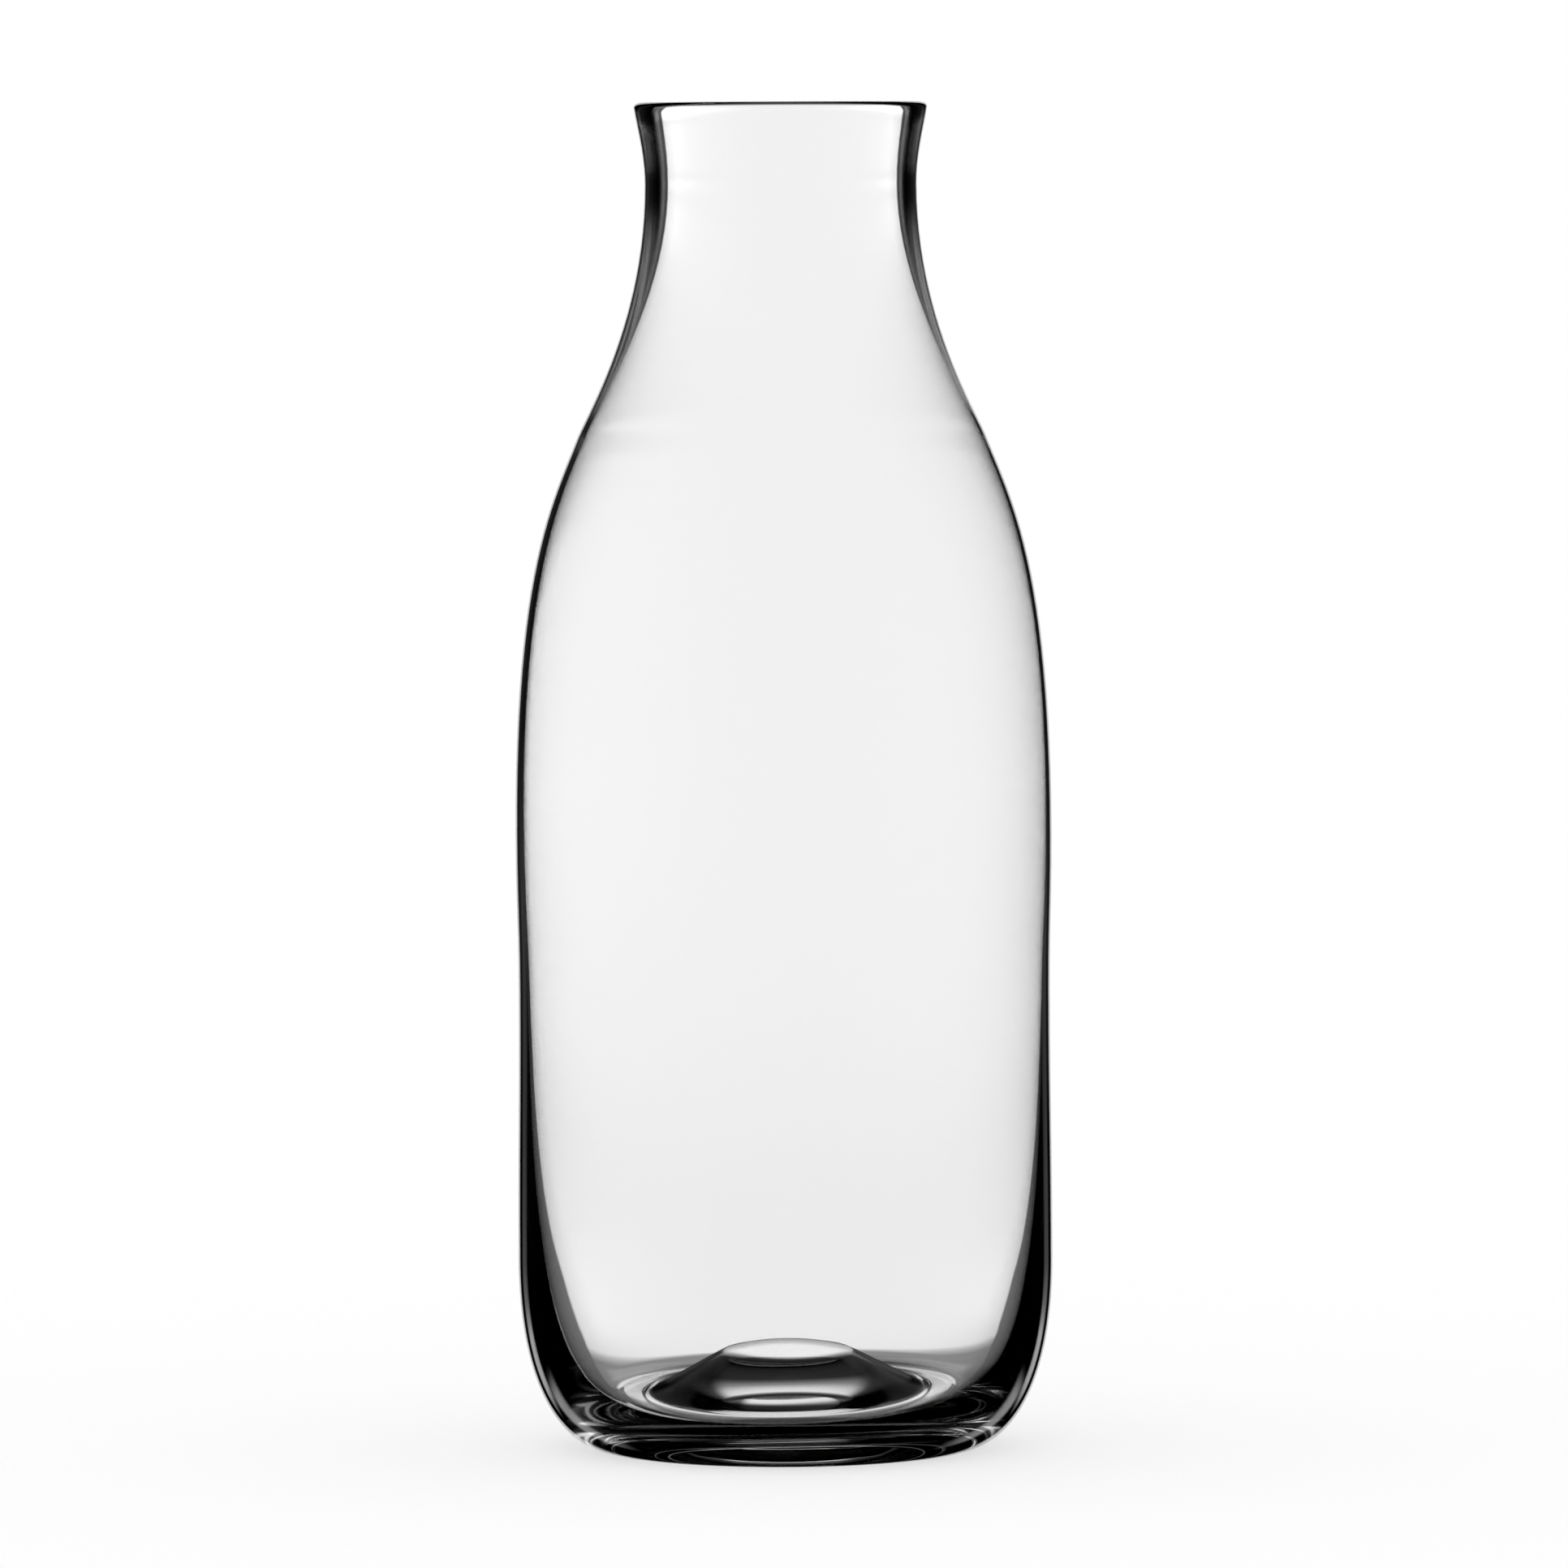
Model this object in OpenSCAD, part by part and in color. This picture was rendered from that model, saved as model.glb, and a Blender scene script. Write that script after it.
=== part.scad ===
// Glass milk bottle, mouth-blown in one piece of clear glass: a tall, almost
// straight body with a very slight waist, a long sloping shoulder, a short
// hourglass neck that opens to a fire-polished lip, and a heavy base that is
// pushed up in the middle. It stands on a narrow flat ring, with z = 0 on the
// table and the axis of the bottle along +Z. Sizes are in millimetres.

/* [Overall] */
// Height from the table to the top of the lip
bottle_h = 240; // [200:1:300]
// Outer diameter at the belly, the widest place
body_d = 95.6; // [80:0.2:120]

/* [Body outline] */
// Height of the belly above the table
belly_z = 110; // [95:1:125]
// Height of the slight waist under the belly
waist_z = 82; // [60:1:92]
// How much narrower the waist is than the belly, across the diameter
waist_draw = 0.8; // [0:0.1:6]
// Height at which the side wall starts to turn in to the foot
heel_z = 34; // [26:1:45]
// How much narrower the body is there than at the belly, across the diameter
heel_draw = 0.2; // [0:0.1:6]

/* [Shoulder and neck] */
// Drop from the lip to the steepest place of the shoulder
shoulder_drop = 59.5; // [45:0.5:68]
// Outer diameter at the steepest place of the shoulder
shoulder_d = 72.8; // [60:0.2:78]
// Lean of the shoulder there, measured from the upright
shoulder_lean = 21.8; // [12:0.2:35]
// Drop from the lip to the narrowest place of the neck
neck_drop = 14.5; // [8:0.5:22]
// Outer diameter at the narrowest place of the neck
neck_d = 48.4; // [40:0.2:56]
// Outer diameter of the flared lip
lip_d = 52.2; // [44:0.2:64]
// Height of the rounded crown that fire-polishing gave the lip
lip_crown = 0.9; // [0.4:0.1:1.4]

/* [Glass thickness] */
// Wall at the lip
lip_wall = 2.8; // [1.6:0.1:4]
// Wall at the narrowest place of the neck
neck_wall = 2.4; // [1.2:0.1:4]
// Thinnest wall, where the shoulder was blown out furthest
thin_wall = 0.9; // [0.6:0.1:2]
// Wall where the side turns in to the foot
heel_wall = 3.6; // [1.5:0.1:6]
// Height over which the extra glass of the heel fades to about a third
fade_h = 34; // [15:1:60]

/* [Foot] */
// Mean diameter of the flat ring that the bottle stands on
foot_d = 62; // [52:1:72]
// Width of the flat ring
foot_ring_w = 3; // [2:0.2:6]
// Height of the hollow under the base
hollow_h = 4; // [2:0.2:5]
// Diameter of the flat top of that hollow
hollow_top_d = 26; // [10:1:40]

/* [Floor inside] */
// Glass under the trough that runs round the floor
trough_glass = 7; // [4:0.2:12]
// Mean diameter of the trough
trough_d = 59; // [50:1:66]
// Rise of the pushed-up mound above the trough
mound_h = 6.5; // [2:0.2:12]
// Diameter of the flat top of the mound
mound_top_d = 23; // [14:1:34]

/* [Hidden] */

glass = [0.93, 0.94, 0.93, 0.35];
$fn = 128;

// Points along each curve of the outline
curve_steps = 12;
// Points along the long wall inside, and round the lip
wall_steps = 44;
lip_steps = 12;

body_r = body_d / 2;
waist_r = (body_d - waist_draw) / 2;
heel_r = (body_d - heel_draw) / 2;
shoulder_r = shoulder_d / 2;
shoulder_z = bottle_h - shoulder_drop;
neck_r = neck_d / 2;
neck_z = bottle_h - neck_drop;
lip_r = lip_d / 2;
lip_z = bottle_h - lip_crown;
foot_out_r = (foot_d + foot_ring_w) / 2;
foot_in_r = (foot_d - foot_ring_w) / 2;
trough_r = trough_d / 2;
mound_top_r = mound_top_d / 2;
mound_z = trough_glass + mound_h;
hollow_top_r = hollow_top_d / 2;

// How far each curve runs straight on before it bends, as shares of its rise
heel_run_out = 0.36;
heel_run_up = 0.77;
swell_run = 0.45;
belly_run_up = 0.67;
shoulder_run_down = 0.17;
shoulder_run_up = 0.11;
neck_run_down = 0.53;
neck_run_up = 0.4;
lip_run_down = 0.25;
floor_run_down = 0.38;
floor_run_out = 0.6;
mound_run_in = 0.3;
mound_run_out = 0.22;
hollow_run = 0.5;

// A cubic curve that leaves a towards b and comes to d from c, without d itself
function curve(a, b, c, d, n) =
    [for (i = [0 : n - 1])
        let (t = i / n, s = 1 - t)
        s * s * s * a + 3 * s * s * t * b + 3 * s * t * t * c + t * t * t * d];

// A smooth step from 0 to 1
function ease(u) =
    let (t = min(max(u, 0), 1))
    t * t * (3 - 2 * t);

// A point at a distance along the lean of the shoulder, upwards when positive
function on_shoulder(run) =
    [shoulder_r - run * sin(shoulder_lean), shoulder_z + run * cos(shoulder_lean)];

// Outer side from the foot to the lip, as [radius, height]
foot_edge = [foot_out_r, 0];
heel = [heel_r, heel_z];
waist = [waist_r, waist_z];
belly = [body_r, belly_z];
shoulder = [shoulder_r, shoulder_z];
neck = [neck_r, neck_z];
lip = [lip_r, lip_z];
shoulder_rise = shoulder_z - belly_z;
neck_rise = neck_z - shoulder_z;
lip_rise = lip_z - neck_z;
up = [0, 1];
out = [1, 0];
flare = (lip - neck) / norm(lip - neck);

outer_side = concat(
    curve(foot_edge, foot_edge + heel_run_out * (heel_r - foot_out_r) * out,
        heel - heel_run_up * heel_z * up, heel, 2 * curve_steps),
    curve(heel, heel + swell_run * (waist_z - heel_z) * up,
        waist - swell_run * (waist_z - heel_z) * up, waist, curve_steps / 2),
    curve(waist, waist + swell_run * (belly_z - waist_z) * up,
        belly - swell_run * (belly_z - waist_z) * up, belly, curve_steps / 2),
    curve(belly, belly + belly_run_up * shoulder_rise * up,
        on_shoulder(-shoulder_run_down * shoulder_rise), shoulder, 2 * curve_steps),
    curve(shoulder, on_shoulder(shoulder_run_up * neck_rise),
        neck - neck_run_down * neck_rise * up, neck, 2 * curve_steps),
    curve(neck, neck + neck_run_up * lip_rise * up,
        lip - lip_run_down * lip_rise * flare, lip, curve_steps));

// The lip is half an ellipse over the wall
lip_crown_line =
    [for (i = [0 : lip_steps])
        let (a = 180 * i / lip_steps)
        [lip_r - lip_wall / 2 * (1 - cos(a)), lip_z + lip_crown * sin(a)]];

// Wall at a height: thick at the heel, thinning as it was blown, thick at the neck
function wall(z) =
    thin_wall
    + (heel_wall - thin_wall) * exp(-(z - heel_z) / fade_h) * (1 - ease((z - shoulder_z) / neck_rise))
    + (neck_wall - thin_wall) * ease((z - shoulder_z) / neck_rise)
    + (lip_wall - neck_wall) * ease((z - neck_z) / lip_rise);

outer_by_height = [for (p = outer_side) [p[1], p[0]]];
function outer_r(z) = lookup(z, concat(outer_by_height, [[lip_z, lip_r]]));
function inner_point(z) = [outer_r(z) - wall(z), z];

// Inner side from under the lip down to the heel
wall_line =
    [for (i = [1 : wall_steps])
        inner_point(lip_z - (lip_z - heel_z) * i / wall_steps)];

// Floor from the heel, down into the trough and up over the mound
inner_heel = inner_point(heel_z);
wall_slope = [(heel_wall - thin_wall) / fade_h, 1];
trough = [trough_r, trough_glass];
mound_edge = [mound_top_r, mound_z];
floor_drop = heel_z - trough_glass;
mound_w = trough_r - mound_top_r;

floor_line = concat(
    curve(inner_heel, inner_heel - floor_run_down * floor_drop * wall_slope,
        trough + floor_run_out * (inner_heel[0] - trough_r) * out, trough, 2 * curve_steps),
    curve(trough, trough - mound_run_in * mound_w * out,
        mound_edge + mound_run_out * mound_w * out, mound_edge, curve_steps),
    [mound_edge, [0, mound_z]]);

// Hollow under the base, from its middle out to the flat ring
hollow_edge = [hollow_top_r, hollow_h];
foot_inner_edge = [foot_in_r, 0];
hollow_w = foot_in_r - hollow_top_r;

hollow_line = concat(
    [[0, hollow_h]],
    curve(hollow_edge, hollow_edge + hollow_run * hollow_w * out,
        foot_inner_edge - hollow_run / 2 * hollow_w * out, foot_inner_edge, curve_steps),
    [foot_inner_edge]);

// The whole bottle, one solid of glass
module bottle() {
    color(glass)
        rotate_extrude()
            polygon(concat(outer_side, lip_crown_line, wall_line, floor_line, hollow_line));
}

bottle();
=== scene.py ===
"""Clear glass milk bottle on a pale table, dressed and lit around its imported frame.

The bottle is one piece of mouth-blown flint glass. Its outline, cavity and base are one chain of
points (distance from the axis, height), swung round the axis and then bent by the small faults
that blowing leaves: a wall a little thicker on one side, a floor that isn't quite level, and long
soft ripples inside. The camera sees a white room, but rays that the glass bends or mirrors see a
dark one with a few lit panels. A panel behind fills the bottle with white and the dark beside it
draws its edges in black. Panels stand behind the bottle for four directions of view only, and
from any other side, or from above, the glass looks grey or black.
"""

import logging
import math
from dataclasses import dataclass, field
from enum import Enum
from typing import Any

import bpy
import numpy as np
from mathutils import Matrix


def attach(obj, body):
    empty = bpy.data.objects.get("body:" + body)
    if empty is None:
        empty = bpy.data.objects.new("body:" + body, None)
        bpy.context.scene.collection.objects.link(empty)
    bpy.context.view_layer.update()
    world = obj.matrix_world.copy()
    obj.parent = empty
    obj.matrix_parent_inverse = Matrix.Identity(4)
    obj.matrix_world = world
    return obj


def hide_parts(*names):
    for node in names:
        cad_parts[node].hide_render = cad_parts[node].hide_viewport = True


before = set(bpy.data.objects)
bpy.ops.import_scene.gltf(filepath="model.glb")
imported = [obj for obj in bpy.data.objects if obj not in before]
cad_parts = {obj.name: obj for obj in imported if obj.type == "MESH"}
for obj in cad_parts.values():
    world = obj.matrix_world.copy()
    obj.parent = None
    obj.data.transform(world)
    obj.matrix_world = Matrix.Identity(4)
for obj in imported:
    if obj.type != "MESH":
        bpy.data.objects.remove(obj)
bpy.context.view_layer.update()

LOG = logging.getLogger("milk_bottle")
MM = 0.001
WHITE = "#FFFFFF"
LIGHT_BOUNCES = 24
# Ray depths are whole numbers, so this tells none from one or more
ANY_BOUNCE = 0.5
# A colour Mix node's sockets by number, because its value and colour sockets share their names
MIX_A, MIX_B, MIX_RESULT = 6, 7, 2


def hex_to_linear(code: str) -> tuple[float, float, float, float]:
    """Turns an sRGB hex colour into the linear colour that a shader takes.

    Args:
        code: the colour as "#RRGGBB".

    Returns:
        Red, green and blue from 0 to 1 in linear light, and an alpha of 1.
    """
    channels = np.array([int(code[i:i + 2], 16) for i in (1, 3, 5)]) / 255
    linear = np.where(channels <= 0.04045, channels / 12.92, ((channels + 0.055) / 1.055) ** 2.4)
    return (*(float(value) for value in linear), 1.0)


def add_node(
    tree: bpy.types.NodeTree,
    kind: str,
    settings: dict[str, Any] | None = None,
    inputs: dict[int | str, Any] | None = None,
) -> bpy.types.Node:
    """Adds one node with its settings, and sets or links its inputs.

    Args:
        tree: the node tree that gets the node.
        kind: the node's type name.
        settings: the node's own properties by name.
        inputs: a value or another node's output for each input, by name or number.

    Returns:
        The new node.
    """
    node = tree.nodes.new(kind)
    for name, value in (settings or {}).items():
        setattr(node, name, value)
    for key, value in (inputs or {}).items():
        if isinstance(value, bpy.types.NodeSocket):
            tree.links.new(value, node.inputs[key])
        else:
            node.inputs[key].default_value = value
    return node


def ease(share: np.ndarray | float) -> np.ndarray:
    """Slow start and slow end: 3 t^2 - 2 t^3, with t held from 0 to 1."""
    held = np.clip(share, 0, 1)
    return held * held * (3 - 2 * held)


def bend(start: Any, leave: Any, arrive: Any, end: Any, steps: int) -> np.ndarray:
    """A cubic curve from start to end, without its last point.

    The formula is (1-t)^3 start + 3 (1-t)^2 t leave + 3 (1-t) t^2 arrive + t^3 end.

    Args:
        start: the first point.
        leave: the point that the curve leaves towards.
        arrive: the point that it arrives from.
        end: the last point, which the next stretch starts with.
        steps: how many points to work out.

    Returns:
        An array of steps points.
    """
    t = (np.arange(steps) / steps)[:, None]
    s = 1 - t
    points = [np.asarray(point, float) for point in (start, leave, arrive, end)]
    weights = (s**3, 3 * s * s * t, 3 * s * t * t, t**3)
    return sum(weight * point for weight, point in zip(weights, points))


def dome(edge: np.ndarray, rise: float, shares: np.ndarray) -> np.ndarray:
    """A shallow cap inside an edge: radius edge_r s, height edge_z + rise (1 - s^2).

    Args:
        edge: the cap's outermost point.
        rise: how much higher its middle is.
        shares: the values of s, from 0 at the middle to 1 at the edge.

    Returns:
        The points, in the order of the shares.
    """
    return np.column_stack([edge[0] * shares, edge[1] + rise * (1 - shares * shares)])


@dataclass
class BottleShape:
    """The bottle's outline in millimetres, as (distance from the axis, height) points.

    The outside is the one of the part's own source, so that the shown glass stands where the
    solid does, but foot_d is the ring's outer diameter here and its mean diameter there. The wall
    near the heel, the cavity's corner, the trough, the mound, the hollow and the ring's width
    differ from the source.
    """

    bottle_h: float = 240.0
    body_d: float = 95.6
    belly_z: float = 110.0
    waist_z: float = 82.0
    waist_draw: float = 0.8
    heel_z: float = 34.0
    heel_draw: float = 0.2
    shoulder_drop: float = 59.5
    shoulder_d: float = 72.8
    shoulder_lean: float = 21.8
    neck_drop: float = 14.5
    neck_d: float = 48.4
    lip_d: float = 52.2
    lip_crown: float = 0.9
    lip_wall: float = 2.8
    neck_wall: float = 2.4
    thin_wall: float = 0.9
    heel_wall: float = 3.8
    fade_h: float = 25.0
    foot_d: float = 65.0
    foot_ring_w: float = 4.4
    hollow_h: float = 0.6
    hollow_top_d: float = 41.4
    hollow_dome: float = 1.6
    corner_d: float = 69.0
    corner_z: float = 9.0
    corner_lean: float = 40.0
    trough_glass: float = 7.0
    trough_d: float = 55.6
    mound_h: float = 7.8
    mound_top_d: float = 23.0
    mound_lean: float = 27.0
    mound_dome: float = 1.4
    # How far each curve runs straight on before it bends, as shares of its own stretch
    heel_run_out: float = 0.36
    heel_run_up: float = 0.77
    swell_run: float = 0.45
    belly_run_up: float = 0.67
    shoulder_run_down: float = 0.17
    shoulder_run_up: float = 0.11
    neck_run_down: float = 0.53
    neck_run_up: float = 0.4
    lip_run_down: float = 0.25
    cavity_run_down: float = 0.55
    corner_run_back: float = 0.2
    corner_run_in: float = 0.42
    trough_run_out: float = 0.33
    mound_run_in: float = 0.3
    mound_run_down: float = 0.5
    hollow_run_out: float = 0.94
    hollow_run_in: float = 0.47
    # How many points each stretch has
    side_steps: int = 24
    wall_steps: int = 76
    mound_rings: int = 5
    hollow_rings: int = 9

    def outer_side(self) -> np.ndarray:
        """Foot, heel, waist, belly, shoulder, neck and lip: cubic curves joined end to end."""
        up, out = np.array([0.0, 1.0]), np.array([1.0, 0.0])
        body_r = self.body_d / 2
        foot = np.array([self.foot_d / 2, 0.0])
        heel = np.array([body_r - self.heel_draw / 2, self.heel_z])
        waist = np.array([body_r - self.waist_draw / 2, self.waist_z])
        belly = np.array([body_r, self.belly_z])
        shoulder = np.array([self.shoulder_d / 2, self.bottle_h - self.shoulder_drop])
        neck = np.array([self.neck_d / 2, self.bottle_h - self.neck_drop])
        lip = np.array([self.lip_d / 2, self.bottle_h - self.lip_crown])
        lean = math.radians(self.shoulder_lean)
        slope = np.array([-math.sin(lean), math.cos(lean)])
        flare = (lip - neck) / np.linalg.norm(lip - neck)
        low, mid = waist[1] - heel[1], belly[1] - waist[1]
        rise, throat, rim = shoulder[1] - belly[1], neck[1] - shoulder[1], lip[1] - neck[1]
        n = self.side_steps
        return np.vstack([
            bend(
                foot, foot + self.heel_run_out * (heel[0] - foot[0]) * out,
                heel - self.heel_run_up * heel[1] * up, heel, 2 * n,
            ),
            bend(
                heel, heel + self.swell_run * low * up,
                waist - self.swell_run * low * up, waist, n // 3,
            ),
            bend(
                waist, waist + self.swell_run * mid * up,
                belly - self.swell_run * mid * up, belly, n // 4,
            ),
            bend(
                belly, belly + self.belly_run_up * rise * up,
                shoulder - self.shoulder_run_down * rise * slope, shoulder, n,
            ),
            bend(
                shoulder, shoulder + self.shoulder_run_up * throat * slope,
                neck - self.neck_run_down * throat * up, neck, n,
            ),
            bend(
                neck, neck + self.neck_run_up * rim * up,
                lip - self.lip_run_down * rim * flare, lip, n // 2,
            ),
        ])

    def crown(self) -> np.ndarray:
        """The fire-polished lip: half an ellipse over the wall, from outside to inside."""
        turn = np.linspace(0, math.pi, self.side_steps // 2 + 1)
        radius = self.lip_d / 2 - self.lip_wall / 2 * (1 - np.cos(turn))
        return np.column_stack([radius, self.bottle_h - self.lip_crown + self.lip_crown * np.sin(turn)])

    def wall(self, z: np.ndarray) -> np.ndarray:
        """Wall at a height: thick at the heel, thin at the shoulder, thick again at the neck."""
        shoulder_z, neck_z = self.bottle_h - self.shoulder_drop, self.bottle_h - self.neck_drop
        neck = ease((z - shoulder_z) / (neck_z - shoulder_z))
        rim = ease((z - neck_z) / (self.bottle_h - self.lip_crown - neck_z))
        heel = np.exp(-(z - self.heel_z) / self.fade_h) * (1 - neck)
        return (
            self.thin_wall
            + (self.heel_wall - self.thin_wall) * heel
            + (self.neck_wall - self.thin_wall) * neck
            + (self.lip_wall - self.neck_wall) * rim
        )

    def inner_side(self) -> np.ndarray:
        """The outer side less the wall, from under the lip down to the heel."""
        side = np.vstack([self.outer_side(), [[self.lip_d / 2, self.bottle_h - self.lip_crown]]])
        top = self.bottle_h - self.lip_crown
        z = top - (top - self.heel_z) * np.arange(1, self.wall_steps + 1) / self.wall_steps
        return np.column_stack([np.interp(z, side[:, 1], side[:, 0]) - self.wall(z), z])

    def floor(self) -> np.ndarray:
        """From the heel down round the corner, across the trough and up to the mound's top."""
        out = np.array([1.0, 0.0])
        heel = self.inner_side()[-1]
        slope = np.array([self.heel_wall - self.thin_wall, self.fade_h])
        slope /= np.linalg.norm(slope)
        lean, flank_lean = math.radians(self.corner_lean), math.radians(self.mound_lean)
        fall = np.array([-math.cos(lean), -math.sin(lean)])
        flank_fall = np.array([math.cos(flank_lean), -math.sin(flank_lean)])
        corner = np.array([self.corner_d / 2, self.corner_z])
        trough = np.array([self.trough_d / 2, self.trough_glass])
        mound = np.array([self.mound_top_d / 2, self.trough_glass + self.mound_h])
        drop, shelf = np.linalg.norm(heel - corner), np.linalg.norm(corner - trough)
        flank = trough[0] - mound[0]
        n = self.side_steps
        return np.vstack([
            bend(
                heel, heel - self.cavity_run_down * drop * slope,
                corner - self.corner_run_back * drop * fall, corner, 2 * n,
            )[1:],
            bend(
                corner, corner + self.corner_run_in * shelf * fall,
                trough + self.trough_run_out * shelf * out, trough, n,
            ),
            bend(
                trough, trough - self.mound_run_in * flank * out,
                mound + self.mound_run_down * flank * flank_fall, mound, n,
            ),
            dome(mound, self.mound_dome, np.linspace(1, 1 / self.mound_rings, self.mound_rings)),
        ])

    def underside(self) -> np.ndarray:
        """The hollow under the base, from near its middle out to the flat ring."""
        out = np.array([1.0, 0.0])
        edge = np.array([self.hollow_top_d / 2, self.hollow_h])
        foot = np.array([self.foot_d / 2 - self.foot_ring_w, 0.0])
        width = foot[0] - edge[0]
        n = self.side_steps
        return np.vstack([
            dome(edge, self.hollow_dome, np.arange(1, self.hollow_rings + 1) / (self.hollow_rings + 1)),
            bend(
                edge, edge + self.hollow_run_out * width * out,
                foot - self.hollow_run_in * width * out, foot, n,
            ),
            [foot],
        ])


@dataclass(frozen=True)
class BlowingFaults:
    """What the breath and the turning iron leave in the glass, in millimetres and degrees.

    Only the inner surface takes them: the outside was held by the mould. The last two fields are
    shares of the heel's height.
    """

    wall_shift: float = 0.14
    heel_shift: float = 0.25
    shift_fade_h: float = 14.0
    floor_tilt: float = 0.7
    tilt_fade_h: float = 30.0
    ripple: float = 0.035
    ripple_turns: tuple[int, ...] = (2, 3, 5, 7)
    ripple_phases: tuple[float, ...] = (0.6, 2.1, 4.4, 1.3)
    ripple_rise_h: float = 46.0
    fade_start: float = 0.5
    side_share: float = 0.9

    def apply(self, points: np.ndarray, inner: np.ndarray, heel_z: float) -> np.ndarray:
        """Moves the points of the inner surface.

        With w the share of a ring that is inside, h the heel's height, r the radius and q the
        angle, above = max(z - fade_start h, 0) and side = ease(r / (side_share h)). The moves are
        x += w side (wall_shift + heel_shift exp(-above / shift_fade_h)),
        z += w side tan(floor_tilt) x exp(-above / tilt_fade_h), and the radius grows by
        w ripple min(r / h, 1) times the sum of cos(k q + phase_k + z / ripple_rise_h) / k.

        Args:
            points: rings by segments by xyz.
            inner: one share from 0 to 1 for each ring.
            heel_z: height of the heel.

        Returns:
            The moved points, in the same layout.
        """
        share = inner[:, None]
        x, y, z = (points[..., axis] for axis in range(3))
        radius, angle = np.hypot(x, y), np.arctan2(y, x)
        above = np.maximum(z - self.fade_start * heel_z, 0)
        low, level = np.exp(-above / self.shift_fade_h), np.exp(-above / self.tilt_fade_h)
        waves = sum(
            np.cos(turns * angle + phase + z / self.ripple_rise_h) / turns
            for turns, phase in zip(self.ripple_turns, self.ripple_phases)
        )
        grown = share * self.ripple * waves * np.clip(radius / heel_z, 0, 1)
        side = ease(radius / (heel_z * self.side_share))
        shift = share * (self.wall_shift + self.heel_shift * low) * side
        return np.stack([
            x + grown * np.cos(angle) + shift,
            y + grown * np.sin(angle),
            z + share * math.tan(math.radians(self.floor_tilt)) * x * level * side,
        ], axis=-1)


class Slot(Enum):
    """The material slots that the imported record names."""

    GLASS = "glass"


@dataclass(frozen=True)
class FlintGlass:
    """Mouth-blown soda-lime flint glass, fire-polished: clear and glossy, and faintly wavy.

    To the eye it is almost without colour, bends what lies behind it towards its edges, and lets
    a straight line waver a little where the blown surface isn't quite even. The ring that the
    bottle stands on has lost its polish to years of tables.
    """

    tint: str = "#FDFDFD"
    ior: float = 1.51
    wave_mm: float = 16.0
    wave_depth_mm: float = 0.012
    wave_detail: float = 1.0
    wave_roughness: float = 0.4
    scuff_mm: float = 0.9
    scuff_detail: float = 3.0
    scuff_top_mm: float = 0.25
    scuff_roughness: float = 0.16

    def material(self) -> bpy.types.Material:
        """Builds the glass: full transmission, soft waves as bump, scuffs on the foot ring.

        Returns:
            The material.
        """
        glass = bpy.data.materials.new("flint_glass_fire_polished")
        glass.use_nodes = True
        tree = glass.node_tree
        tree.nodes.clear()
        place = add_node(tree, "ShaderNodeTexCoord").outputs["Object"]
        waves = add_node(
            tree, "ShaderNodeTexNoise", {"noise_dimensions": "3D"},
            {
                "Vector": place, "Scale": 1 / (self.wave_mm * MM),
                "Detail": self.wave_detail, "Roughness": self.wave_roughness,
            },
        )
        bump = add_node(
            tree, "ShaderNodeBump", None,
            {"Height": waves.outputs[0], "Distance": self.wave_depth_mm * MM, "Strength": 1.0},
        )
        height = add_node(tree, "ShaderNodeSeparateXYZ", None, {0: place}).outputs["Z"]
        ring = add_node(
            tree, "ShaderNodeMapRange", {"interpolation_type": "SMOOTHSTEP"},
            {
                "Value": height, "From Min": 0.0, "From Max": self.scuff_top_mm * MM,
                "To Min": 1.0, "To Max": 0.0,
            },
        )
        grit = add_node(
            tree, "ShaderNodeTexNoise", {"noise_dimensions": "3D"},
            {"Vector": place, "Scale": 1 / (self.scuff_mm * MM), "Detail": self.scuff_detail},
        )
        worn = add_node(
            tree, "ShaderNodeMath", {"operation": "MULTIPLY"}, {0: ring.outputs[0], 1: grit.outputs[0]}
        )
        rough = add_node(
            tree, "ShaderNodeMath", {"operation": "MULTIPLY"}, {0: worn.outputs[0], 1: self.scuff_roughness}
        )
        shader = add_node(
            tree, "ShaderNodeBsdfPrincipled", None,
            {
                "Base Color": hex_to_linear(self.tint),
                "IOR": self.ior,
                "Transmission Weight": 1.0,
                "Roughness": rough.outputs[0],
                "Normal": bump.outputs["Normal"],
            },
        )
        add_node(tree, "ShaderNodeOutputMaterial", None, {"Surface": shader.outputs[0]})
        return glass


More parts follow.
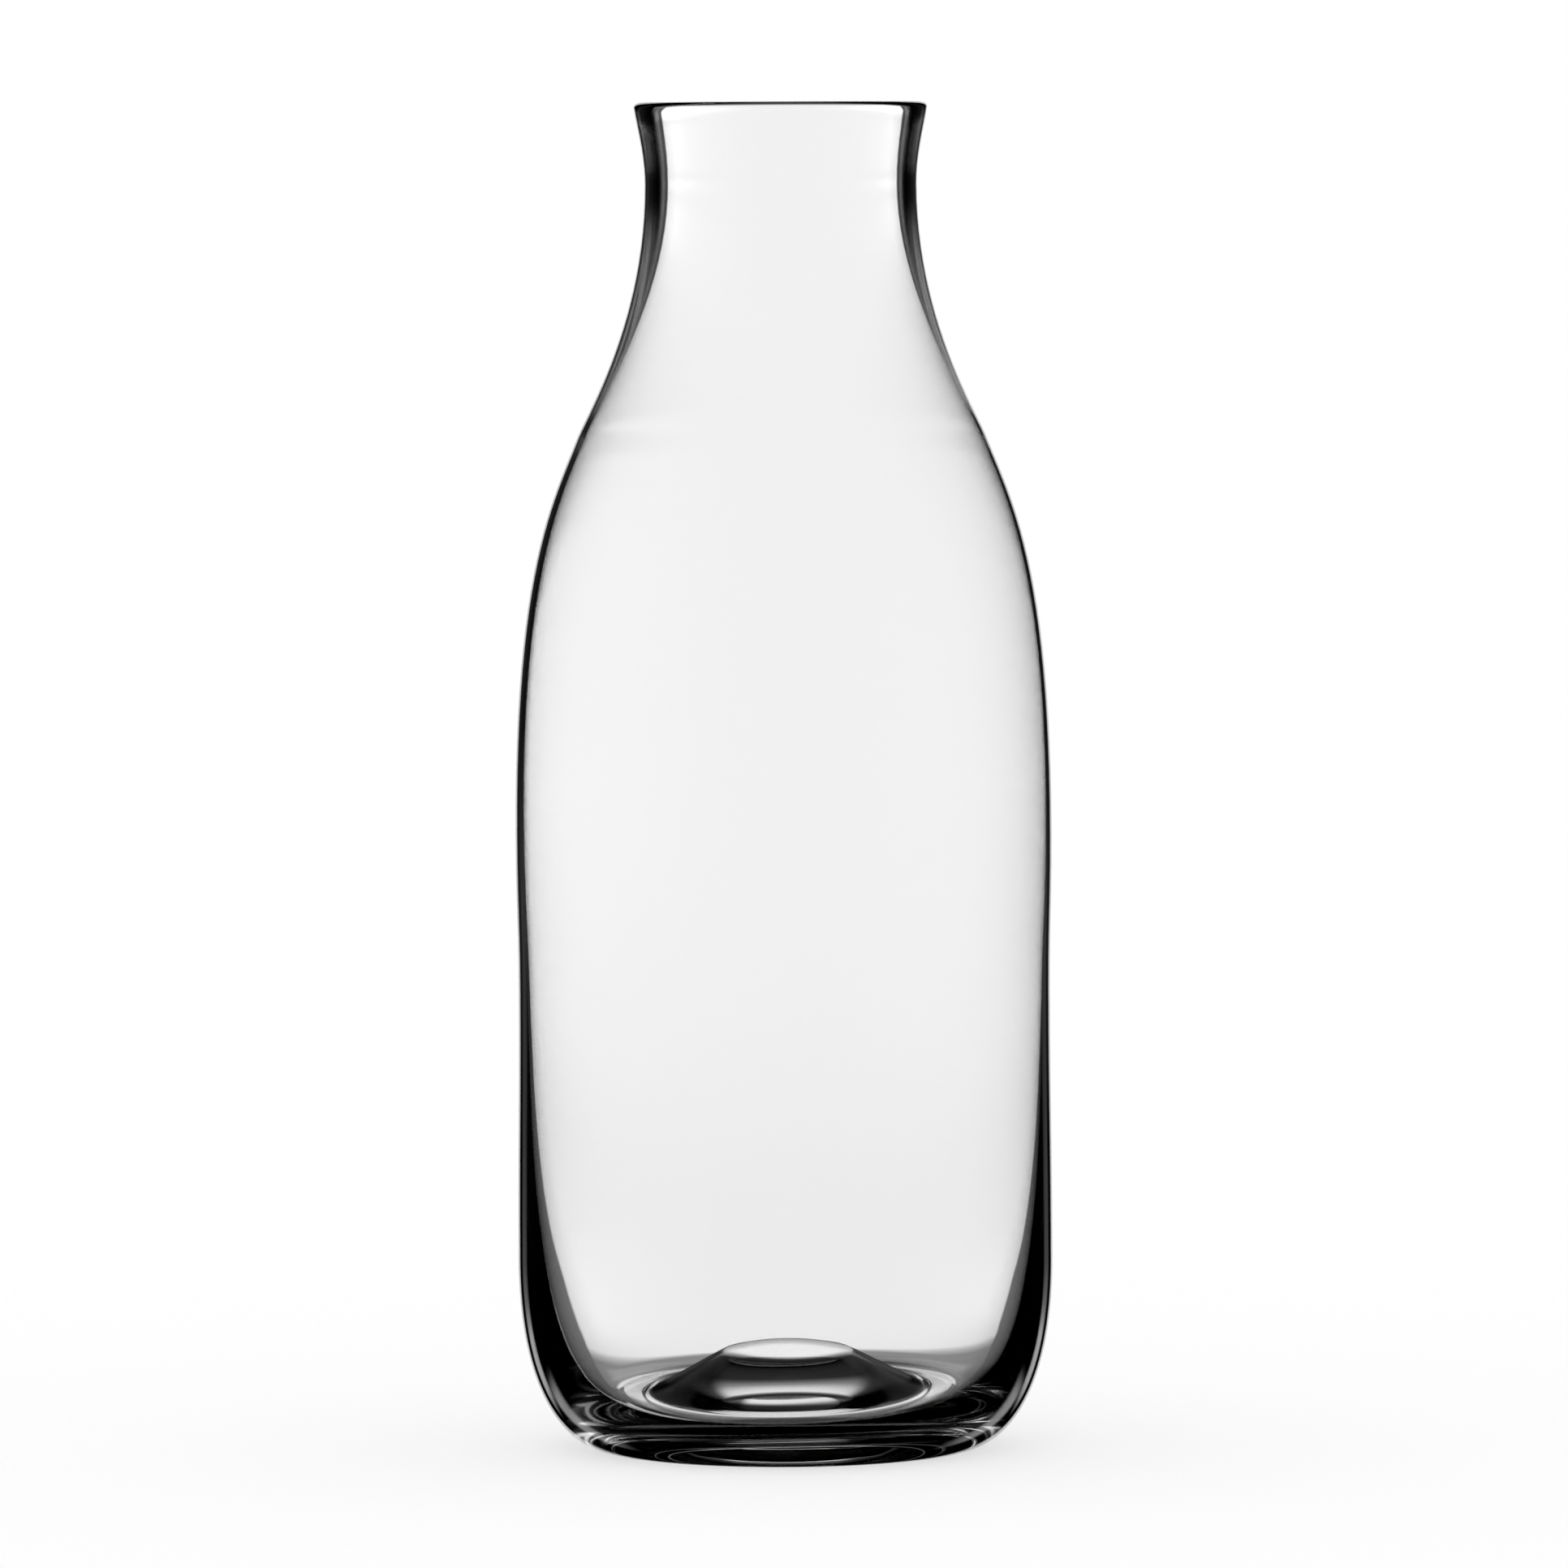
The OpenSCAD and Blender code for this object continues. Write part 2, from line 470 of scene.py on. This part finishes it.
@dataclass
class MilkBottle:
    """The bottle itself: one closed skin of glass, swung round the axis."""

    shape: BottleShape = field(default_factory=BottleShape)
    faults: BlowingFaults = field(default_factory=BlowingFaults)
    finish: FlintGlass = field(default_factory=FlintGlass)
    segments: int = 256
    name: str = "glass_bottle"

    def outline(self) -> tuple[np.ndarray, np.ndarray, tuple[float, float]]:
        """Joins the outline from the middle of the floor to the middle of the underside.

        Returns:
            The rings as (radius, height), the inside share of each ring, and the heights of the
            two poles.
        """
        shape = self.shape
        inside = np.vstack([shape.inner_side(), shape.floor()])[::-1]
        crown, outside, under = shape.crown()[::-1], shape.outer_side()[::-1], shape.underside()[::-1]
        rings = np.vstack([inside, crown, outside, under])
        share = np.concatenate([
            np.ones(len(inside)), np.linspace(1, 0, len(crown)), np.zeros(len(outside) + len(under)),
        ])
        poles = (
            shape.trough_glass + shape.mound_h + shape.mound_dome, shape.hollow_h + shape.hollow_dome
        )
        return rings, share, poles

    def mesh(self) -> bpy.types.Mesh:
        """Swings the outline round: x = r cos q, y = r sin q, with a fan of faces at each pole.

        Returns:
            The closed mesh in metres, smooth all over.
        """
        rings, share, poles = self.outline()
        angle = 2 * math.pi * np.arange(self.segments) / self.segments
        radius, height = rings[:, :1], rings[:, 1:]
        grid = np.stack([radius * np.cos(angle), radius * np.sin(angle), height + 0 * angle], axis=-1)
        grid = self.faults.apply(grid, share, self.shape.heel_z)
        points = np.vstack([grid.reshape(-1, 3), [[0, 0, poles[0]], [0, 0, poles[1]]]]) * MM
        count, around = len(rings), np.arange(self.segments)
        after = (around + 1) % self.segments
        row = (np.arange(count - 1) * self.segments)[:, None]
        quads = np.stack(
            [row + around, row + self.segments + around, row + self.segments + after, row + after], axis=-1
        ).reshape(-1, 4)
        last = (count - 1) * self.segments
        top, bottom = count * self.segments, count * self.segments + 1
        fan_top = np.column_stack([np.full(self.segments, top), around, after])
        fan_bottom = np.column_stack([np.full(self.segments, bottom), last + after, last + around])
        corners = np.concatenate([quads.ravel(), fan_top.ravel(), fan_bottom.ravel()])
        sides = np.concatenate([np.full(len(quads), 4), np.full(2 * self.segments, 3)])
        mesh = bpy.data.meshes.new(self.name)
        mesh.vertices.add(len(points))
        mesh.vertices.foreach_set("co", points.astype(np.float32).ravel())
        mesh.loops.add(len(corners))
        mesh.loops.foreach_set("vertex_index", corners.astype(np.int32))
        mesh.polygons.add(len(sides))
        mesh.polygons.foreach_set("loop_start", (np.cumsum(sides) - sides).astype(np.int32))
        mesh.polygons.foreach_set("use_smooth", np.ones(len(sides), bool))
        mesh.update(calc_edges=True)
        mesh.validate()
        return mesh

    def build(self) -> bpy.types.Object:
        """Makes the piece, hides the imported bottle node that it replaces and hangs it under the root body.

        Returns:
            The finished object.
        """
        bottle = bpy.data.objects.new(self.name, self.mesh())
        bpy.context.scene.collection.objects.link(bottle)
        bottle.data.materials.append(self.finish.material())
        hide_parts("bottle")
        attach(bottle, "root")
        LOG.info("%s: %d faces", self.name, len(bottle.data.polygons))
        return bottle


Stops = tuple[tuple[float, float], ...]


class Route(Enum):
    """How a panel's light reaches the eye."""

    STRAIGHT = "bent by the glass but never reflected in it"
    ECHOED = "reflected inside the glass on its way"
    MIRRORED = "reflected off the outside"


@dataclass(frozen=True)
class LitPanel:
    """One lit panel of the studio, as seen from the bottle, with the grey and dark beside it.

    Directions are in degrees, and levels are shares of the panel's brightness, where a brightness
    of 1 is white. Facing is the panel's compass direction from +Y towards +X. Across gives (angle
    off the panel's middle, level) pairs and upward gives (height angle, level) pairs. The panel
    gets brighter towards its sides, by the square of the angle over side_angle up to side_most,
    times the side glow at that height angle.
    """

    facing: float
    across: Stops
    upward: Stops
    route: Route = Route.STRAIGHT
    brightness: float = 1.08
    side_angle: float = 8.0
    side_most: float = 1.4
    side_glow: Stops = ()


def sharp_ray(tree: bpy.types.NodeTree, path: Any) -> bpy.types.NodeSocket:
    """1 for a ray that the glass has bent or mirrored, and else 0.

    Args:
        tree: the node tree that reads it.
        path: the outputs of the tree's Light Path node.

    Returns:
        The greater of the two flags.
    """
    return add_node(
        tree, "ShaderNodeMath", {"operation": "MAXIMUM"},
        {0: path["Is Transmission Ray"], 1: path["Is Glossy Ray"]},
    ).outputs[0]


@dataclass(frozen=True)
class Studio:
    """A dark room with a few lit panels, a pale table, and plain white for all other light.

    Only rays that the glass bends or mirrors see the room, and they pass through the table. The
    camera and matt surfaces see plain white. White stands behind the bottle for the views from 0,
    45, 90 and 225 degrees round, each over its own range of heights, and for no others.
    """

    panels: tuple[LitPanel, ...] = (
        # Behind the bottle seen from 0 degrees: white, with grey strips and then dark beside it
        LitPanel(
            facing=0.0,
            across=(
                (0.0, 1.0), (14.5, 1.0), (15.5, 0.06), (17.5, 0.08), (19.0, 0.2), (22.5, 0.14),
                (27.0, 0.0),
            ),
            upward=(
                (-32.0, 0.06), (-26.0, 0.28), (-22.0, 0.3), (-20.5, 0.93), (-12.0, 0.94), (-9.0, 0.95),
                (-4.0, 1.0), (32.0, 1.0), (38.0, 0.0),
            ),
            side_glow=(
                (-20.0, 0.0), (-16.0, 0.15), (-12.0, 0.2), (-10.0, 0.22), (-8.0, 0.28), (-5.5, 0.6),
                (-3.5, 0.9), (-1.0, 0.9), (-0.5, 0.45), (-0.2, 0.15), (0.3, 0.12), (1.0, 0.2),
                (2.5, 0.25), (5.0, 0.12), (12.0, 0.1), (16.0, 0.0),
            ),
        ),
        # A wide grey skirt under it, for the heel
        LitPanel(
            facing=0.0,
            across=((0.0, 0.25), (28.0, 0.25), (34.0, 0.0)),
            upward=((-34.0, 0.0), (-27.0, 0.7), (-17.0, 1.0), (-9.0, 1.0), (-6.0, 0.3), (-4.0, 0.0)),
        ),
        # What reflections inside the glass show, mostly in the mound
        LitPanel(
            facing=0.0, route=Route.ECHOED,
            across=((0.0, 1.0), (15.0, 1.0), (19.0, 0.15), (30.0, 0.08), (45.0, 0.0)),
            upward=(
                (-20.0, 0.0), (-8.0, 0.02), (4.0, 0.03), (6.0, 0.1), (9.0, 0.3), (12.0, 0.8),
                (15.0, 1.0), (33.0, 1.0), (37.0, 0.0),
            ),
        ),
        # What the outside mirrors: a panel behind and two strips beside it
        LitPanel(
            facing=0.0, route=Route.MIRRORED,
            across=((0.0, 0.8), (13.0, 0.8), (15.0, 0.0)),
            upward=((-25.0, 0.0), (-20.0, 1.0), (23.0, 1.0), (27.0, 0.0)),
        ),
        LitPanel(
            facing=0.0, route=Route.MIRRORED,
            across=((20.5, 0.0), (23.5, 1.0), (28.5, 1.0), (31.0, 0.0)),
            upward=((-19.0, 0.0), (-15.0, 1.0), (-10.0, 1.0), (-8.0, 0.35), (-5.0, 0.1), (-2.0, 0.0)),
        ),
        LitPanel(
            facing=0.0, route=Route.MIRRORED,
            across=((28.0, 0.0), (32.0, 1.0), (38.0, 1.0), (42.0, 0.0)),
            upward=((-45.0, 0.0), (-35.0, 1.0), (-20.0, 1.0), (-16.0, 0.0)),
        ),
        # White behind the bottle seen from 90, 45 and 225 degrees
        LitPanel(
            facing=-90.0, across=((0.0, 1.0), (13.5, 1.0), (15.0, 0.0)),
            upward=((-24.0, 0.0), (-20.5, 1.0), (30.0, 1.0), (38.0, 0.0)),
        ),
        LitPanel(
            facing=-45.0, across=((0.0, 1.0), (14.5, 1.0), (16.0, 0.0)),
            upward=((-60.0, 0.0), (-54.0, 1.0), (-14.0, 1.0), (-11.0, 0.0)),
        ),
        LitPanel(
            facing=135.0, across=((0.0, 1.0), (14.5, 1.0), (16.0, 0.0)),
            upward=((-50.0, 0.0), (-44.0, 1.0), (10.0, 1.0), (16.0, 0.0)),
        ),
    )
    plain_level: float = 1.0
    unlit: str = "#0C0804"
    table_size: float = 60.0
    table_glow: float = 0.55

    def ramp(
        self, tree: bpy.types.NodeTree, angle: bpy.types.NodeSocket, stops: Stops
    ) -> bpy.types.NodeSocket:
        """Reads a level off its (angle, level) pairs, straight from one pair to the next.

        Args:
            tree: the world's node tree.
            angle: the angle looked at, in radians from -90 to 180 degrees.
            stops: the pairs, in degrees and rising.

        Returns:
            The level there.
        """
        low, span = -90.0, 270.0
        share = add_node(
            tree, "ShaderNodeMapRange", None,
            {"Value": angle, "From Min": math.radians(low), "From Max": math.radians(low + span)},
        )
        ramp = add_node(tree, "ShaderNodeValToRGB", None, {"Fac": share.outputs[0]})
        elements = ramp.color_ramp.elements
        elements.remove(elements[1])
        for degrees, _ in stops[1:]:
            elements.new((degrees - low) / span)
        for element, (degrees, level) in zip(elements, stops):
            element.position = (degrees - low) / span
            element.color = (level, level, level, 1.0)
        return ramp.outputs["Color"]

    def panel_light(
        self, tree: bpy.types.NodeTree, direction: bpy.types.NodeSocket, panel: LitPanel
    ) -> bpy.types.NodeSocket:
        """Works out one panel's light: brightness and glow times the levels across and upward.

        Args:
            tree: the world's node tree.
            direction: the direction looked in, as a unit vector.
            panel: the panel.

        Returns:
            The panel's brightness in that direction.
        """
        turned = add_node(
            tree, "ShaderNodeVectorRotate", {"rotation_type": "Z_AXIS"},
            {"Vector": direction, "Angle": math.radians(panel.facing)},
        )
        parts = add_node(tree, "ShaderNodeSeparateXYZ", None, {0: turned.outputs[0]})
        bearing = add_node(
            tree, "ShaderNodeMath", {"operation": "ARCTAN2"}, {0: parts.outputs["X"], 1: parts.outputs["Y"]}
        )
        off = add_node(tree, "ShaderNodeMath", {"operation": "ABSOLUTE"}, {0: bearing.outputs[0]}).outputs[0]
        height = add_node(
            tree, "ShaderNodeMath", {"operation": "ARCSINE"}, {0: parts.outputs["Z"]}
        ).outputs[0]
        lit = add_node(
            tree, "ShaderNodeMath", {"operation": "MULTIPLY"},
            {0: self.ramp(tree, off, panel.across), 1: self.ramp(tree, height, panel.upward)},
        )
        glow = panel.brightness
        if panel.side_glow:
            outward = add_node(
                tree, "ShaderNodeMath", {"operation": "DIVIDE"}, {0: off, 1: math.radians(panel.side_angle)}
            )
            squared = add_node(
                tree, "ShaderNodeMath", {"operation": "POWER"}, {0: outward.outputs[0], 1: 2.0}
            )
            held = add_node(
                tree, "ShaderNodeMath", {"operation": "MINIMUM"}, {0: squared.outputs[0], 1: panel.side_most}
            )
            glow = add_node(
                tree, "ShaderNodeMath", {"operation": "MULTIPLY_ADD"},
                {0: held.outputs[0], 1: self.ramp(tree, height, panel.side_glow), 2: panel.brightness},
            ).outputs[0]
        return add_node(
            tree, "ShaderNodeMath", {"operation": "MULTIPLY"}, {0: lit.outputs[0], 1: glow}
        ).outputs[0]

    def level(
        self, tree: bpy.types.NodeTree, direction: bpy.types.NodeSocket, route: Route
    ) -> bpy.types.NodeSocket:
        """The brightest of the panels that are seen by one route.

        Args:
            tree: the world's node tree.
            direction: the direction looked in, as a unit vector.
            route: the route.

        Returns:
            The level in that direction.
        """
        levels = [self.panel_light(tree, direction, panel) for panel in self.panels if panel.route is route]
        seen = levels[0]
        for other in levels[1:]:
            seen = add_node(tree, "ShaderNodeMath", {"operation": "MAXIMUM"}, {0: seen, 1: other}).outputs[0]
        return seen

    def light(self) -> None:
        """Makes the world: plain white, but for what is seen through the glass or mirrored in it."""
        world = bpy.data.worlds.new("studio")
        bpy.context.scene.world = world
        world.use_nodes = True
        tree = world.node_tree
        tree.nodes.clear()
        direction = add_node(tree, "ShaderNodeTexCoord").outputs["Generated"]
        path = add_node(tree, "ShaderNodeLightPath").outputs
        echoed = add_node(
            tree, "ShaderNodeMath", {"operation": "GREATER_THAN"},
            {0: path["Glossy Depth"], 1: ANY_BOUNCE},
        )
        room = add_node(
            tree, "ShaderNodeMix", {"data_type": "RGBA", "clamp_factor": False},
            {
                0: self.level(tree, direction, Route.STRAIGHT),
                MIX_A: hex_to_linear(self.unlit), MIX_B: hex_to_linear(WHITE),
            },
        )
        within = add_node(
            tree, "ShaderNodeMix", {"data_type": "RGBA"},
            {
                0: echoed.outputs[0], MIX_A: room.outputs[MIX_RESULT],
                MIX_B: self.level(tree, direction, Route.ECHOED),
            },
        )
        glass = add_node(
            tree, "ShaderNodeMix", {"data_type": "RGBA"},
            {
                0: path["Is Transmission Ray"], MIX_A: self.level(tree, direction, Route.MIRRORED),
                MIX_B: within.outputs[MIX_RESULT],
            },
        )
        unscattered = add_node(
            tree, "ShaderNodeMath", {"operation": "LESS_THAN"},
            {0: path["Diffuse Depth"], 1: ANY_BOUNCE},
        )
        sees_room = add_node(
            tree, "ShaderNodeMath", {"operation": "MULTIPLY"},
            {0: sharp_ray(tree, path), 1: unscattered.outputs[0]},
        )
        plain = (self.plain_level, self.plain_level, self.plain_level, 1.0)
        colour = add_node(
            tree, "ShaderNodeMix", {"data_type": "RGBA"},
            {0: sees_room.outputs[0], MIX_A: plain, MIX_B: glass.outputs[MIX_RESULT]},
        )
        back = add_node(
            tree, "ShaderNodeBackground", None, {"Color": colour.outputs[MIX_RESULT], "Strength": 1.0}
        )
        add_node(tree, "ShaderNodeOutputWorld", None, {"Surface": back.outputs[0]})

    def table(self) -> bpy.types.Object:
        """Makes the pale table: matt white, and clear to rays that the glass bends or mirrors."""
        half = self.table_size / 2
        mesh = bpy.data.meshes.new("table")
        corners = [(-half, -half, 0), (half, -half, 0), (half, half, 0), (-half, half, 0)]
        mesh.from_pydata(corners, [], [(0, 1, 2, 3)])
        table = bpy.data.objects.new("table", mesh)
        bpy.context.scene.collection.objects.link(table)
        matt = bpy.data.materials.new("white_laminate_matt")
        matt.use_nodes = True
        tree = matt.node_tree
        tree.nodes.clear()
        path = add_node(tree, "ShaderNodeLightPath").outputs
        white = add_node(tree, "ShaderNodeBsdfDiffuse", None, {"Color": hex_to_linear(WHITE)})
        glow = add_node(
            tree, "ShaderNodeEmission", None,
            {"Color": hex_to_linear(WHITE), "Strength": path["Is Camera Ray"]},
        )
        lifted = add_node(
            tree, "ShaderNodeMixShader", None,
            {0: self.table_glow, 1: white.outputs[0], 2: glow.outputs[0]},
        )
        clear = add_node(tree, "ShaderNodeBsdfTransparent")
        both = add_node(
            tree, "ShaderNodeMixShader", None,
            {0: sharp_ray(tree, path), 1: lifted.outputs[0], 2: clear.outputs[0]},
        )
        add_node(tree, "ShaderNodeOutputMaterial", None, {"Surface": both.outputs[0]})
        table.data.materials.append(matt)
        return table


@dataclass(frozen=True)
class Viewpoint:
    """A long lens a little under the lip, two metres off, looking slightly down."""

    distance: float = 2.044
    height: float = 0.2329
    side: float = 0.00063
    down: float = 3.2
    roll: float = 0.26
    lens: float = 263.67
    sensor: float = 36.0
    clip_start: float = 0.1
    clip_end: float = 200.0

    def build(self) -> bpy.types.Object:
        """Makes the camera and gives it to the scene."""
        data = bpy.data.cameras.new("camera")
        data.sensor_width, data.lens = self.sensor, self.lens
        data.clip_start, data.clip_end = self.clip_start, self.clip_end
        camera = bpy.data.objects.new("camera", data)
        bpy.context.scene.collection.objects.link(camera)
        camera.location = (self.side, -self.distance, self.height)
        camera.rotation_euler = (math.radians(90 - self.down), math.radians(self.roll), 0.0)
        bpy.context.scene.camera = camera
        return camera


def main() -> None:
    """Builds the camera, the bottle and the studio in order."""
    logging.basicConfig(level=logging.INFO, format="%(message)s")
    scene = bpy.context.scene
    scene.view_settings.view_transform = "Standard"
    for kind in ("max_bounces", "transmission_bounces", "glossy_bounces"):
        setattr(scene.cycles, kind, LIGHT_BOUNCES)
    Viewpoint().build()
    MilkBottle().build()
    studio = Studio()
    studio.light()
    studio.table()


if __name__ == "__main__":
    main()
